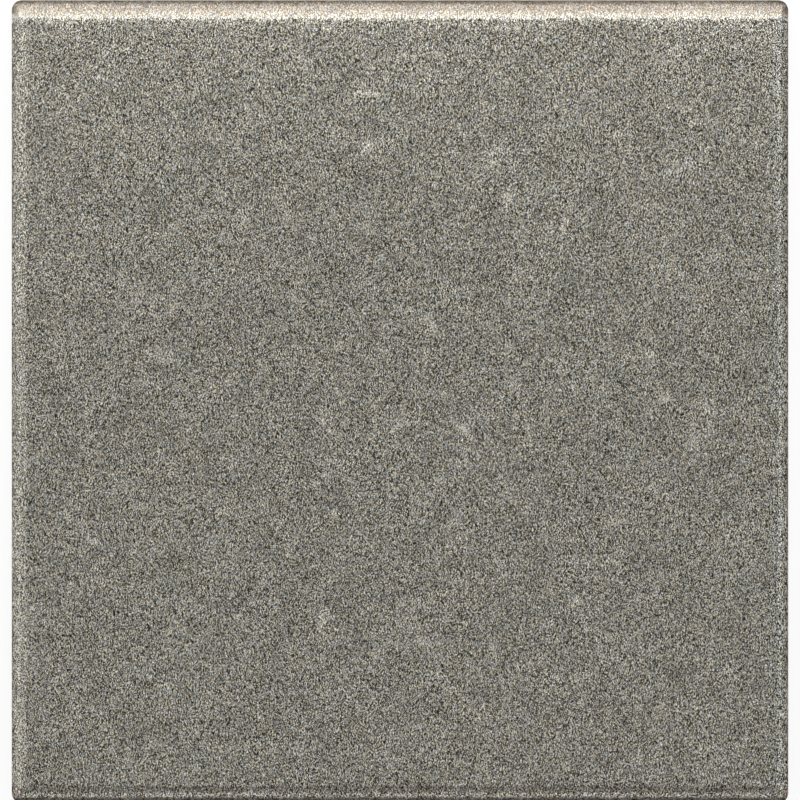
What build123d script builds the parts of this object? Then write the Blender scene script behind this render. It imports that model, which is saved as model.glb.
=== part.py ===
from build123d import *

import os

# A near-square accent tile for a wall, cast in resin as one piece in an open mould.
# The origin is at the middle of the flat back, +Z points out of the face,
# and +Y points along the longer side. All sizes are in millimetres.

# Outline of the casting at its back, where it is widest, before the arris is rubbed off
tile_width = 98.25
tile_length = 101.6
tile_thickness = 8.0

# Standing corners of the outline, which are squarer than the edge of the face is round
corner_radius = 1.3

# Walls lean in towards the face, so that the casting leaves its mould
draft_angle = 1.0

# Rolled edge between the walls and the flat of the face
edge_radius = 2.4

# Arris rubbed off the back edge after the casting is struck level
back_arris = 0.4


with BuildPart() as accent_tile:
    with BuildSketch() as outline:
        RectangleRounded(tile_width, tile_length, corner_radius)
    extrude(amount=tile_thickness, taper=draft_angle)

    face_edges = accent_tile.faces().sort_by(Axis.Z)[-1].edges()
    fillet(face_edges, radius=edge_radius)

    back_edges = accent_tile.faces().sort_by(Axis.Z)[0].edges()
    chamfer(back_edges, length=back_arris)

accent_tile.part.label = "accent_tile"

os.makedirs("parts", exist_ok=True)
export_step(accent_tile.part, "parts/accent_tile.step")
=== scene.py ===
from math import cos, pi, radians, sin, tan

import bmesh
import bpy
import numpy as np
from mathutils import Matrix, Vector


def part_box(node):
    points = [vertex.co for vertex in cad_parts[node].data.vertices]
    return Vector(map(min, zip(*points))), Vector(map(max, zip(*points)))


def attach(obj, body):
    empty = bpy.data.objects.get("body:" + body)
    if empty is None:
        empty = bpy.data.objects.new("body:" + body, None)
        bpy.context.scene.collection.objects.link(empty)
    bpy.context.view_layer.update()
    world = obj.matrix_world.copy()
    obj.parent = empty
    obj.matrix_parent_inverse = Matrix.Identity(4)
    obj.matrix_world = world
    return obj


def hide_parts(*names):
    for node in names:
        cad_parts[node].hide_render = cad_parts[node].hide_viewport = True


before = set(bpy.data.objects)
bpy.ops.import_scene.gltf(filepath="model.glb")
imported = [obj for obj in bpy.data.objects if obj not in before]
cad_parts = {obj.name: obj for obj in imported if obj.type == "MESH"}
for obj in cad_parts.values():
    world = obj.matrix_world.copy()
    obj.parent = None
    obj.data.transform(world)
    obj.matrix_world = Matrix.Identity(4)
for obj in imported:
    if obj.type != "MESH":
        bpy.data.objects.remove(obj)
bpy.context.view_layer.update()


# Cast tile
# The tile is one piece of filled resin, poured face down into an open mould and struck level at the back.
# Its walls lean in a little towards the face, and the edge of the face is rolled over all round.
mm = 0.001
tile_low, tile_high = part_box("accent_tile")
tile_thickness = tile_high.z - tile_low.z
wall_draft = radians(1.0)
back_arris = 0.4 * mm
edge_radius = 2.4 * mm
corner_radius = 1.3 * mm
edge_steps = 10
wall_rows = 9
coarse_squares = 43
fine_squares = 6
level_normal = 0.9
smooth_angle = radians(35)

# The rubbed arris takes the widest line off the casting, so the block starts that much wider
block_width = tile_high.x - tile_low.x + 2 * back_arris * tan(wall_draft)
block_length = tile_high.y - tile_low.y + 2 * back_arris * tan(wall_draft)
draft_run = tile_thickness * tan(wall_draft)
edge_run = edge_radius * tan((pi / 2 - wall_draft) / 2)
flat_half_width = block_width / 2 - draft_run - edge_run
flat_half_length = block_length / 2 - draft_run - edge_run


def pick(kind, test):
    """Selects the edges or faces of the mesh in edit mode that pass the test, and nothing else."""
    bpy.ops.mesh.select_mode(type={"edges": "EDGE", "faces": "FACE"}[kind])
    bpy.ops.mesh.select_all(action="DESELECT")
    shape = bmesh.from_edit_mesh(bpy.context.object.data)
    for part in getattr(shape, kind):
        if test(part):
            part.select_set(True)
    shape.select_flush_mode()
    bmesh.update_edit_mesh(bpy.context.object.data)


def run_of(edge):
    """How far an edge reaches along X, Y and Z."""
    span = edge.verts[1].co - edge.verts[0].co
    return Vector((abs(span.x), abs(span.y), abs(span.z)))


def height_of(edge):
    """The height of the middle of an edge."""
    return (edge.verts[0].co.z + edge.verts[1].co.z) / 2


bpy.ops.object.select_all(action="DESELECT")
bpy.ops.mesh.primitive_cube_add(size=1.0, location=(0.0, 0.0, tile_low.z + tile_thickness / 2))
tile = bpy.context.object
tile.name = "cast_tile"
tile.scale = (block_width, block_length, tile_thickness)
bpy.ops.object.transform_apply(location=True, rotation=True, scale=True)
bpy.ops.object.mode_set(mode="EDIT")

pick("faces", lambda face: face.normal.z > level_normal)
bpy.ops.transform.resize(value=(1 - 2 * draft_run / block_width, 1 - 2 * draft_run / block_length, 1.0))

# The standing corners are squarer than the rolled edge, so they get a smaller share of the bevel
pick("edges", lambda edge: run_of(edge).z > tile_thickness / 2)
bpy.ops.transform.edge_bevelweight(value=corner_radius / edge_run)
pick("edges", lambda edge: height_of(edge) > tile_high.z - back_arris)
bpy.ops.transform.edge_bevelweight(value=1.0)
bpy.ops.object.mode_set(mode="OBJECT")
rolled_edge = tile.modifiers.new("rolled_edge", type="BEVEL")
rolled_edge.limit_method = "WEIGHT"
rolled_edge.width = edge_run
rolled_edge.segments = edge_steps
bpy.ops.object.modifier_apply(modifier=rolled_edge.name)

bpy.ops.object.mode_set(mode="EDIT")
back_height = tile_low.z + back_arris / 2
pick("edges", lambda edge: height_of(edge) < back_height and run_of(edge).z < back_arris)
bpy.ops.mesh.bevel(offset=back_arris, segments=1, affect="EDGES")

# All but the flat back is cut into small squares, and the back is closed again after
pick("faces", lambda face: face.normal.z < -level_normal)
bpy.ops.mesh.delete(type="FACE")
pick("edges", lambda edge: run_of(edge).z > tile_thickness / 2)
bpy.ops.mesh.subdivide(number_cuts=wall_rows - 1)
for squares in (coarse_squares, fine_squares):
    for axis in range(2):
        pick("edges", lambda edge: run_of(edge)[axis] > corner_radius)
        bpy.ops.mesh.subdivide(number_cuts=squares - 1)
pick("edges", lambda edge: edge.is_boundary)
bpy.ops.mesh.edge_face_add()
bpy.ops.object.mode_set(mode="OBJECT")

places = np.empty(len(tile.data.vertices) * 3)
tile.data.vertices.foreach_get("co", places)
place_x, place_y, place_z = places.reshape(-1, 3).T
past_flat = np.maximum(np.abs(place_x) - flat_half_width, np.abs(place_y) - flat_half_length)


def weigh(name, weights):
    """A vertex group of the tile with a weight for every vertex."""
    group = tile.vertex_groups.new(name=name)
    for index in np.flatnonzero(weights):
        group.add([int(index)], float(weights[index]), "REPLACE")
    return group


# The face begins to fall away very slightly before the rolled edge
fall_depth = 0.06 * mm
fall_width = 1.7 * mm
fall = np.clip((past_flat + fall_width) / (2 * fall_width), 0.0, 1.0)
fall = fall**2 * (3 - 2 * fall) * (place_z - tile_low.z) / tile_thickness
soft_edge = tile.modifiers.new("soft_edge", type="DISPLACE")
soft_edge.vertex_group = weigh("edge_of_face", fall).name
soft_edge.direction = "Z"
soft_edge.mid_level = 0.0
soft_edge.strength = -fall_depth
bpy.ops.object.modifier_apply(modifier=soft_edge.name)

# The blasted mould leaves a shallow unevenness, which only goes inwards. The struck back has none.
uneven_depth = 0.02 * mm
uneven_size = 1.1 * mm
uneven_detail = 2
moulded_from = tile_low.z + 1.5 * back_arris
uneven = bpy.data.textures.new("mould_unevenness", type="CLOUDS")
uneven.noise_scale = uneven_size
uneven.noise_depth = uneven_detail
relief = tile.modifiers.new("mould_relief", type="DISPLACE")
relief.vertex_group = weigh("moulded", place_z > moulded_from).name
relief.texture = uneven
relief.texture_coords = "LOCAL"
relief.mid_level = 1.0
relief.strength = uneven_depth
bpy.ops.object.modifier_apply(modifier=relief.name)
bpy.ops.object.shade_smooth_by_angle(angle=smooth_angle)

# Small places on the face are rubbed lighter. Each is a soft oval: its middle, half length and half width
# in millimetres, and its turn in degrees.
rubbed_places = [
    (-29.9, 5.6, 2.0, 0.8, 1),
    (12.2, 30.9, 1.8, 0.9, 54),
    (13.2, 25.7, 1.6, 0.9, 100),
    (7.7, -3.3, 1.6, 0.65, 135),
    (4.2, 9.7, 1.65, 0.65, 125),
    (-0.3, -3.1, 2.0, 0.55, 31),
    (-4.0, 32.5, 1.65, 0.5, 54),
    (3.0, -30.6, 1.8, 0.6, 151),
    (4.5, 1.3, 1.55, 0.6, 153),
    (31.1, 24.4, 2.1, 0.75, 163),
    (-3.7, 38.9, 2.0, 0.45, 176),
    (-29.0, -36.0, 1.25, 0.65, 30),
    (-28.6, 22.0, 1.2, 0.7, 60),
    (-9.7, -2.2, 0.95, 0.8, 72),
    (-32.0, -13.2, 1.6, 0.65, 162),
    (34.8, 29.2, 2.05, 0.45, 14),
    (21.1, 22.9, 1.95, 0.45, 66),
    (-9.7, -27.4, 1.35, 0.55, 80),
    (-19.8, 23.0, 0.9, 0.7, 15),
    (13.5, 2.5, 1.15, 0.6, 154),
    (-13.1, 13.3, 0.9, 0.75, 130),
    (31.3, 6.1, 1.0, 0.7, 154),
    (11.7, -31.6, 1.3, 0.55, 101),
    (-7.9, 7.1, 0.9, 0.6, 20),
    (7.9, -7.0, 1.2, 0.45, 113),
    (36.9, -5.2, 0.95, 0.8, 114),
    (-30.4, 13.0, 0.8, 0.6, 9),
    (27.0, -15.4, 1.3, 0.45, 23),
    (-3.2, -31.9, 1.05, 0.65, 152),
    (33.3, 0.5, 0.8, 0.6, 117),
    (-24.6, 12.2, 0.65, 0.5, 156),
    (22.1, -25.0, 0.9, 0.55, 151),
    (6.7, -15.2, 1.1, 0.5, 54),
    (-38.5, -17.7, 1.1, 0.5, 158),
    (-29.6, -29.8, 1.15, 0.4, 52),
]
rubbed = np.zeros(len(place_x))
for middle_x, middle_y, half_length, half_width, turn in rubbed_places:
    away_x = place_x - middle_x * mm
    away_y = place_y - middle_y * mm
    along = (away_x * cos(radians(turn)) + away_y * sin(radians(turn))) / (half_length * mm)
    across = (away_y * cos(radians(turn)) - away_x * sin(radians(turn))) / (half_width * mm)
    rubbed = np.maximum(rubbed, np.exp(-(along**2 + across**2)))
rubbed *= place_z > tile_high.z - back_arris
tile.data.attributes.new("rubbed", "FLOAT", "POINT").data.foreach_set("value", rubbed)

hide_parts("accent_tile")
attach(tile, "root")


# Finish of the face, the rolled edge and the walls
# The resin is filled with metal powder and blasted, so it looks like dull pewter with a fine grain.
# The rolled edge is rubbed brighter and carries a painted highlight, with brown specks, and painted shade
# darkens it again where it turns down.
def new_material(name):
    """A material with an empty node tree."""
    material = bpy.data.materials.new(name)
    material.use_nodes = True
    material.node_tree.nodes.clear()
    return material


def add(material, kind, inputs, **settings):
    """A node of the material with its settings, and with its inputs set to values or linked to sockets."""
    made = material.node_tree.nodes.new(kind)
    for name, value in settings.items():
        setattr(made, name, value)
    for name, value in inputs.items():
        if isinstance(value, bpy.types.NodeSocket):
            material.node_tree.links.new(value, made.inputs[name])
        else:
            made.inputs[name].default_value = value
    return made


def calculate(material, operation, first, second):
    """The result of a Math node on two values or sockets."""
    return add(material, "ShaderNodeMath", {0: first, 1: second}, operation=operation).outputs[0]


def smooth_step(material, value, start, end, low=0.0, high=1.0):
    """A smooth change from low to high while the value goes from start to end."""
    inputs = {"Value": value, "From Min": start, "From Max": end, "To Min": low, "To Max": high}
    return add(material, "ShaderNodeMapRange", inputs, interpolation_type="SMOOTHSTEP").outputs["Result"]


def mix_colours(material, share, first, second):
    """A mix of two colours by a mask."""
    return add(material, "ShaderNodeMix", {0: share, 6: first, 7: second}, data_type="RGBA").outputs[2]


def multiply_colour(material, colour, factor):
    """A colour multiplied by another, each of its three parts by itself."""
    inputs = {0: colour, 1: factor}
    return add(material, "ShaderNodeVectorMath", inputs, operation="MULTIPLY").outputs[0]


def tone_colours(material, tone, stops):
    """The colour of a tone on a scale of stops, each a place and a colour. The two ends come first."""
    made = add(material, "ShaderNodeValToRGB", {"Fac": tone})
    for number, (stop, colour) in enumerate(stops):
        element = made.color_ramp.elements[number] if number < 2 else made.color_ramp.elements.new(stop)
        element.position = stop
        element.color = colour
    return made.outputs["Color"]


pewter = new_material("pewter_look_resin")
place = add(pewter, "ShaderNodeTexCoord", {}).outputs["Object"]

# Thin bent wisps and the rubbed places, both broken up into smaller patches
wisp_bend = 2.2 * mm
wisp_break = 1.7 * mm
wisp_width = 0.035
wisp_strength = 0.65
wisp_gaps = (0.52, 0.66)
patch_gaps = (0.34, 0.54)
middle_tone = 0.5
bend_look = {"Vector": place, "Scale": 1 / wisp_bend, "Detail": 1.0}
bend = add(pewter, "ShaderNodeTexNoise", bend_look).outputs["Fac"]
broken_look = {"Vector": place, "Scale": 1 / wisp_break, "Detail": 2.0}
broken = add(pewter, "ShaderNodeTexNoise", broken_look).outputs["Fac"]
off_line = calculate(pewter, "ABSOLUTE", calculate(pewter, "SUBTRACT", bend, middle_tone), 0.0)
wisp_line = smooth_step(pewter, off_line, 0.0, wisp_width, 1.0, 0.0)
wisp_share = smooth_step(pewter, broken, *wisp_gaps, 0.0, wisp_strength)
wisp = calculate(pewter, "MULTIPLY", wisp_line, wisp_share)
rubbed_mask = add(pewter, "ShaderNodeAttribute", {}, attribute_name="rubbed").outputs["Fac"]
rubbed_patch = calculate(pewter, "MULTIPLY", rubbed_mask, smooth_step(pewter, broken, *patch_gaps))
rubbed_away = calculate(pewter, "MAXIMUM", wisp, rubbed_patch)

# Every flake of the grain is either dark or bright, and more of them are bright where the face is rubbed
grain_width = 0.0285 * mm
grain_length = 0.125 * mm
grain_height = 0.3 * mm
rubbed_bright = 0.16
grain_stops = [
    (0.0, (0.0160, 0.0141, 0.0085, 1.0)),
    (1.0, (0.8720, 0.8420, 0.7560, 1.0)),
    (0.70, (0.0390, 0.0343, 0.0210, 1.0)),
    (0.80, (0.7730, 0.7465, 0.6705, 1.0)),
]
grain_scale = {"Vector": place, "Scale": (1 / grain_width, 1 / grain_length, 1 / grain_height)}
grain_place = add(pewter, "ShaderNodeMapping", grain_scale).outputs["Vector"]
grain = add(pewter, "ShaderNodeTexVoronoi", {"Vector": grain_place, "Scale": 1.0})
flake = add(pewter, "ShaderNodeSeparateColor", {"Color": grain.outputs["Color"]}).outputs["Red"]
bared_flake = calculate(pewter, "ADD", flake, calculate(pewter, "MULTIPLY", rubbed_away, rubbed_bright))
grain_colour = tone_colours(pewter, bared_flake, grain_stops)

# Masks for the sides of the rolled edge and for the walls. Each comes in over a stretch, its fade.
rim_fade = (0.2 * mm, 0.8 * mm)
top_fade = (-0.2 * mm, 0.25 * mm)
edge_fade = (0.1 * mm, 0.9 * mm)
end_fade = (1.4 * mm, 1.9 * mm)
wall_top = tile_high.z - edge_radius
wall_fade = (wall_top - 0.4 * mm, wall_top + 0.7 * mm)
apart = add(pewter, "ShaderNodeSeparateXYZ", {"Vector": place}).outputs
flat_half = {"X": flat_half_width, "Y": flat_half_length}
sides = {"top": ("Y", 1), "bottom": ("Y", -1), "left": ("X", -1), "right": ("X", 1)}


def beyond(side, fade):
    """A smooth change from 0 to 1 over a stretch beyond the flat of the face, on one side of the tile."""
    axis, way = sides[side]
    start, end = (way * (flat_half[axis] + distance) for distance in fade)
    return smooth_step(pewter, apart[axis], start, end)


past = {}
for axis in "XY":
    out = calculate(pewter, "ABSOLUTE", apart[axis], 0.0)
    past[axis] = calculate(pewter, "SUBTRACT", out, flat_half[axis])
past_both = calculate(pewter, "MAXIMUM", past["X"], past["Y"])
above_wall = smooth_step(pewter, apart["Z"], *wall_fade)
on_wall = calculate(pewter, "SUBTRACT", 1.0, above_wall)
top_rim = beyond("top", top_fade)
top_edge = beyond("top", edge_fade)
bottom_edge = beyond("bottom", edge_fade)
left_edge = beyond("left", edge_fade)

# The grain is smoother on the rolled edge at the top and the left, and most of all on the walls
mean_colour = (0.2245, 0.2155, 0.1863, 1.0)
top_smooth = 0.52
left_smooth = 0.20
wall_smooth = 0.82
top_calm = calculate(pewter, "MULTIPLY", top_rim, top_smooth)
left_calm = calculate(pewter, "MULTIPLY", left_edge, left_smooth)
wall_calm = calculate(pewter, "MULTIPLY", on_wall, wall_smooth)
calm = calculate(pewter, "MAXIMUM", calculate(pewter, "ADD", top_calm, left_calm), wall_calm)
calmed = mix_colours(pewter, calm, grain_colour, mean_colour)

# Wider cells turn the grain a little cooler or warmer
tint_width = 0.32 * mm
tint_length = 0.12 * mm
cool_tint = (0.94, 1.0, 1.13, 1.0)
warm_tint = (1.06, 1.0, 0.87, 1.0)
tint_scale = {"Vector": place, "Scale": (1 / tint_width, 1 / tint_length, 1 / tint_width)}
tint_place = add(pewter, "ShaderNodeMapping", tint_scale).outputs["Vector"]
tint = add(pewter, "ShaderNodeTexVoronoi", {"Vector": tint_place, "Scale": 1.0})
tint_split = add(pewter, "ShaderNodeSeparateColor", {"Color": tint.outputs["Color"]}).outputs
tint_colour = mix_colours(pewter, tint_split["Red"], cool_tint, warm_tint)
tinted = multiply_colour(pewter, calmed, tint_colour)

# The tone is cloudy, a few millimetres across
mottle_size = 4.5 * mm
mottle_tones = (0.2, 0.8)
mottle_change = (0.885, 1.105)
mottle_look = {"Vector": place, "Scale": 1 / mottle_size, "Detail": 3.0, "Roughness": 0.6}
mottle = add(pewter, "ShaderNodeTexNoise", mottle_look).outputs["Fac"]
mottle_gain = smooth_step(pewter, mottle, *mottle_tones, *mottle_change)

# The rolled edge is brighter, partly rubbed and partly a painted highlight, and a painted highlight also
# runs round the two corners beside the top edge
rim_rub_and_highlight = 1.36
corner_highlight = 1.75
corner_start = (-1.2 * mm, -0.3 * mm)
corner_stop = (0.3 * mm, 1.0 * mm)
corner_fade = (0.7 * mm, 1.6 * mm)
rim = smooth_step(pewter, past_both, *rim_fade)
rim_rub_and_highlight_gain = smooth_step(pewter, calculate(pewter, "MAXIMUM", rim, top_rim), 0.0, 1.0, 1.0, rim_rub_and_highlight)
# Painted highlight round the two corners beside the top edge
beside_top = calculate(pewter, "SUBTRACT", beyond("top", corner_start), beyond("top", corner_stop))
corner = calculate(pewter, "MULTIPLY", beside_top, smooth_step(pewter, past["X"], *corner_fade))
corner_highlight_gain = smooth_step(pewter, corner, 0.0, 1.0, 1.0, corner_highlight)

# Along the top a painted highlight lies where it turns down, with painted shade beyond
turn_highlight = 0.32
turn_shade_depth = 1.35
turn_start = (1.42 * mm, 1.66 * mm)
turn_stop = (1.78 * mm, 2.02 * mm)
turn_shade = calculate(pewter, "MULTIPLY", beyond("top", turn_stop), turn_shade_depth)
turn_line = calculate(pewter, "SUBTRACT", beyond("top", turn_start), turn_shade)
turn_line = calculate(pewter, "MULTIPLY", turn_line, above_wall)
turn_light_and_shade_gain = calculate(pewter, "ADD", calculate(pewter, "MULTIPLY", turn_line, turn_highlight), 1.0)

# Painted shade darkens it where it turns down at the bottom and the right. At the bottom this painted
# shade fades out down the wall.
bottom_shade = 0.30
right_shade = 0.72
bottom_shade_fade = (tile_high.z - 4.5 * mm, tile_high.z - 1.2 * mm)
bottom_end = beyond("bottom", end_fade)
high_up = smooth_step(pewter, apart["Z"], *bottom_shade_fade)
bottom_shade_line = calculate(pewter, "MULTIPLY", bottom_end, high_up)
bottom_shade_gain = smooth_step(pewter, bottom_shade_line, 0.0, 1.0, 1.0, bottom_shade)
right_shade_line = calculate(pewter, "MULTIPLY", beyond("right", end_fade), above_wall)
right_shade_gain = smooth_step(pewter, right_shade_line, 0.0, 1.0, 1.0, right_shade)
# The cloudy tone is multiplied by the painted highlights and painted shade above
gain = mottle_gain
for part_gain in (rim_rub_and_highlight_gain, corner_highlight_gain, turn_light_and_shade_gain, bottom_shade_gain, right_shade_gain):
    gain = calculate(pewter, "MULTIPLY", gain, part_gain)
toned = add(pewter, "ShaderNodeVectorMath", {0: tinted, "Scale": gain}, operation="SCALE").outputs[0]

# The rolled edges at the top and the bottom are warmer, with brown specks
edge_warmth = (1.04, 0.975, 0.95)
speck_colour = (0.240, 0.150, 0.090, 1.0)
speck_cells = (0.955, 0.975)
warm_bottom = calculate(pewter, "MULTIPLY", bottom_edge, calculate(pewter, "SUBTRACT", 1.0, bottom_end))
warm = calculate(pewter, "MULTIPLY", calculate(pewter, "MAXIMUM", top_edge, warm_bottom), above_wall)
warmed = multiply_colour(pewter, toned, edge_warmth)
speck = calculate(pewter, "MULTIPLY", warm, smooth_step(pewter, tint_split["Green"], *speck_cells))
colour = mix_colours(pewter, speck, mix_colours(pewter, warm, toned, warmed), speck_colour)

# The grain is a shallow relief, and each flake keeps its own tone when it is seen at a slant
grain_depth = 0.004 * mm
dark_roughness = 0.27
bright_roughness = 0.22
roughness = smooth_step(pewter, flake, 0.0, 1.0, dark_roughness, bright_roughness)
grain_bump = add(pewter, "ShaderNodeBump", {"Distance": grain_depth, "Height": grain.outputs["Distance"]})
skin = {"Base Color": colour, "Metallic": 1.0, "Roughness": roughness, "Specular Tint": colour}
skin["Normal"] = grain_bump.outputs["Normal"]
surface = add(pewter, "ShaderNodeBsdfPrincipled", skin)
add(pewter, "ShaderNodeOutputMaterial", {"Surface": surface.outputs["BSDF"]})
tile.data.materials.append(pewter)


# Finish of the back
# The back is the resin as it was struck level with a straight edge: dull grey, with faint drawn streaks.
# Small pits are left where air bubbles broke at the surface.
streak_length = 30.0 * mm
streak_width = 0.6 * mm
streak_height = 0.15
streak_tones = (0.25, 0.75)
streak_roughness = (0.72, 0.58)
back_normal = 0.5
pit_size = 1.6 * mm
pit_depth = 0.05 * mm
pit_cells = (0.80, 0.82)
pit_rim = (0.10, 0.16)
pit_colour = (0.050, 0.048, 0.045, 1.0)
streak_colours = ((0.150, 0.146, 0.138, 1.0), (0.245, 0.238, 0.225, 1.0))

bare = new_material("struck_back_resin")
place = add(bare, "ShaderNodeTexCoord", {}).outputs["Object"]
streak_scale = {"Vector": place, "Scale": (1 / streak_length, 1 / streak_width, 1.0)}
streak_place = add(bare, "ShaderNodeMapping", streak_scale).outputs["Vector"]
streak_look = {"Vector": streak_place, "Scale": 1.0, "Detail": 4.0}
streak = add(bare, "ShaderNodeTexNoise", streak_look).outputs["Fac"]
streak_colour = tone_colours(bare, streak, zip(streak_tones, streak_colours))
pit_cell = add(bare, "ShaderNodeTexVoronoi", {"Vector": place, "Scale": 1 / pit_size}).outputs
pit_split = add(bare, "ShaderNodeSeparateColor", {"Color": pit_cell["Color"]}).outputs
chosen = smooth_step(bare, pit_split["Red"], *pit_cells)
pit = calculate(bare, "MULTIPLY", smooth_step(bare, pit_cell["Distance"], *pit_rim, 1.0, 0.0), chosen)
colour = mix_colours(bare, pit, streak_colour, pit_colour)
roughness = smooth_step(bare, streak, *streak_tones, *streak_roughness)
height = calculate(bare, "SUBTRACT", calculate(bare, "MULTIPLY", streak, streak_height), pit)
struck_bump = add(bare, "ShaderNodeBump", {"Distance": pit_depth, "Height": height})
skin = {"Base Color": colour, "Metallic": 0.0, "Roughness": roughness}
skin["Normal"] = struck_bump.outputs["Normal"]
surface = add(bare, "ShaderNodeBsdfPrincipled", skin)
add(bare, "ShaderNodeOutputMaterial", {"Surface": surface.outputs["BSDF"]})
tile.data.materials.append(bare)
bpy.ops.object.mode_set(mode="EDIT")
pick("faces", lambda face: face.normal.z < -back_normal)
tile.active_material_index = 1
bpy.ops.object.material_slot_assign()
bpy.ops.object.mode_set(mode="OBJECT")


# Floor
# A plain pale board that the tile lies on. It looks white, with the tile's soft shadow on it.
# It is set a hair below the back, so that the two never share one plane.
floor_side = 12.0
floor_drop = 0.05 * mm
floor_white = 0.80
floor_colour = (0.92, 0.92, 0.92, 1.0)
bpy.ops.object.select_all(action="DESELECT")
bpy.ops.mesh.primitive_plane_add(size=floor_side, location=(0.0, 0.0, tile_low.z - floor_drop))
floor = bpy.context.object
floor.name = "pale_board"
board = new_material("pale_board")
matt = add(board, "ShaderNodeBsdfDiffuse", {"Color": floor_colour})
glow = add(board, "ShaderNodeEmission", {})
ray = add(board, "ShaderNodeLightPath", {}).outputs
seen = calculate(board, "MAXIMUM", ray["Is Camera Ray"], ray["Is Glossy Ray"])
seen = calculate(board, "MAXIMUM", seen, ray["Is Transmission Ray"])
share = calculate(board, "MULTIPLY", seen, floor_white)
both = add(board, "ShaderNodeMixShader", {0: share, 1: matt.outputs["BSDF"], 2: glow.outputs["Emission"]})
add(board, "ShaderNodeOutputMaterial", {"Surface": both.outputs["Shader"]})
floor.data.materials.append(board)


# Light
# Soft studio boxes: the brightest lean in beyond the top edge, and weaker ones hang overhead and at the
# other edges. A plain grey room gives the rest.
room_grey = (0.50, 0.50, 0.50, 1.0)
world = bpy.data.worlds.new("grey_room")
bpy.context.scene.world = world
world.use_nodes = True
world.node_tree.nodes["Background"].inputs["Color"].default_value = room_grey


def softbox(name, upper, lower, width, brightness):
    """An area lamp between the middles of its upper and lower edges, of that width and brightness."""
    upper = Vector(upper)
    lower = Vector(lower)
    middle = (upper + lower) / 2
    up = (upper - lower).normalized()
    towards = Vector((0.0, 0.0, tile_high.z)) - middle
    back = (towards.dot(up) * up - towards).normalized()
    data = bpy.data.lights.new(name, type="AREA")
    data.shape = "RECTANGLE"
    data.size = width
    data.size_y = (upper - lower).length
    data.energy = brightness * pi * data.size * data.size_y
    lamp = bpy.data.objects.new(name, data)
    bpy.context.scene.collection.objects.link(lamp)
    facing = Matrix((up.cross(back), up, back)).transposed()
    lamp.matrix_world = Matrix.Translation(middle) @ facing.to_4x4()
    lamp.visible_camera = False


softbox("box_top_high", (0.0, 0.079, 0.262), (0.0, 0.149, 0.197), 1.0, 2.3)
softbox("box_top", (0.0, 0.149, 0.197), (0.0, 0.21, 0.135), 1.0, 2.0)
softbox("box_top_low", (0.0, 0.21, 0.135), (0.0, 0.33, 0.02), 1.0, 1.4)
softbox("box_overhead", (-0.10, 0.30, 0.80), (-0.10, -0.30, 0.80), 1.60, 0.475)
softbox("box_left", (-0.75, 0.0, 0.50), (-0.85, 0.0, 0.01), 1.2, 0.62)
softbox("box_right", (0.62, 0.0, 0.42), (0.78, 0.0, 0.11), 1.2, 0.62)
softbox("box_bottom", (0.0, -0.64, 0.45), (0.0, -0.75, 0.12), 1.2, 0.50)


# Camera
# It looks straight down on the face through a long lens, as a flatbed scan does.
# The tile's middle is a little below the middle of the picture.
picture_side = 800
tile_middle_pixel = (400.0, 401.7)
pixel_size = 0.1261 * mm
lens_length = 700.0

camera_data = bpy.data.cameras.new("scan_camera")
camera_data.lens = lens_length
camera = bpy.data.objects.new("scan_camera", camera_data)
bpy.context.scene.collection.objects.link(camera)
bpy.context.scene.camera = camera
camera_height = picture_side * pixel_size * lens_length / camera_data.sensor_width
camera.location = (
    (picture_side / 2 - tile_middle_pixel[0]) * pixel_size,
    (tile_middle_pixel[1] - picture_side / 2) * pixel_size,
    tile_high.z + camera_height,
)
camera_data.clip_end = 2 * camera_height
bpy.context.scene.view_settings.view_transform = "Standard"
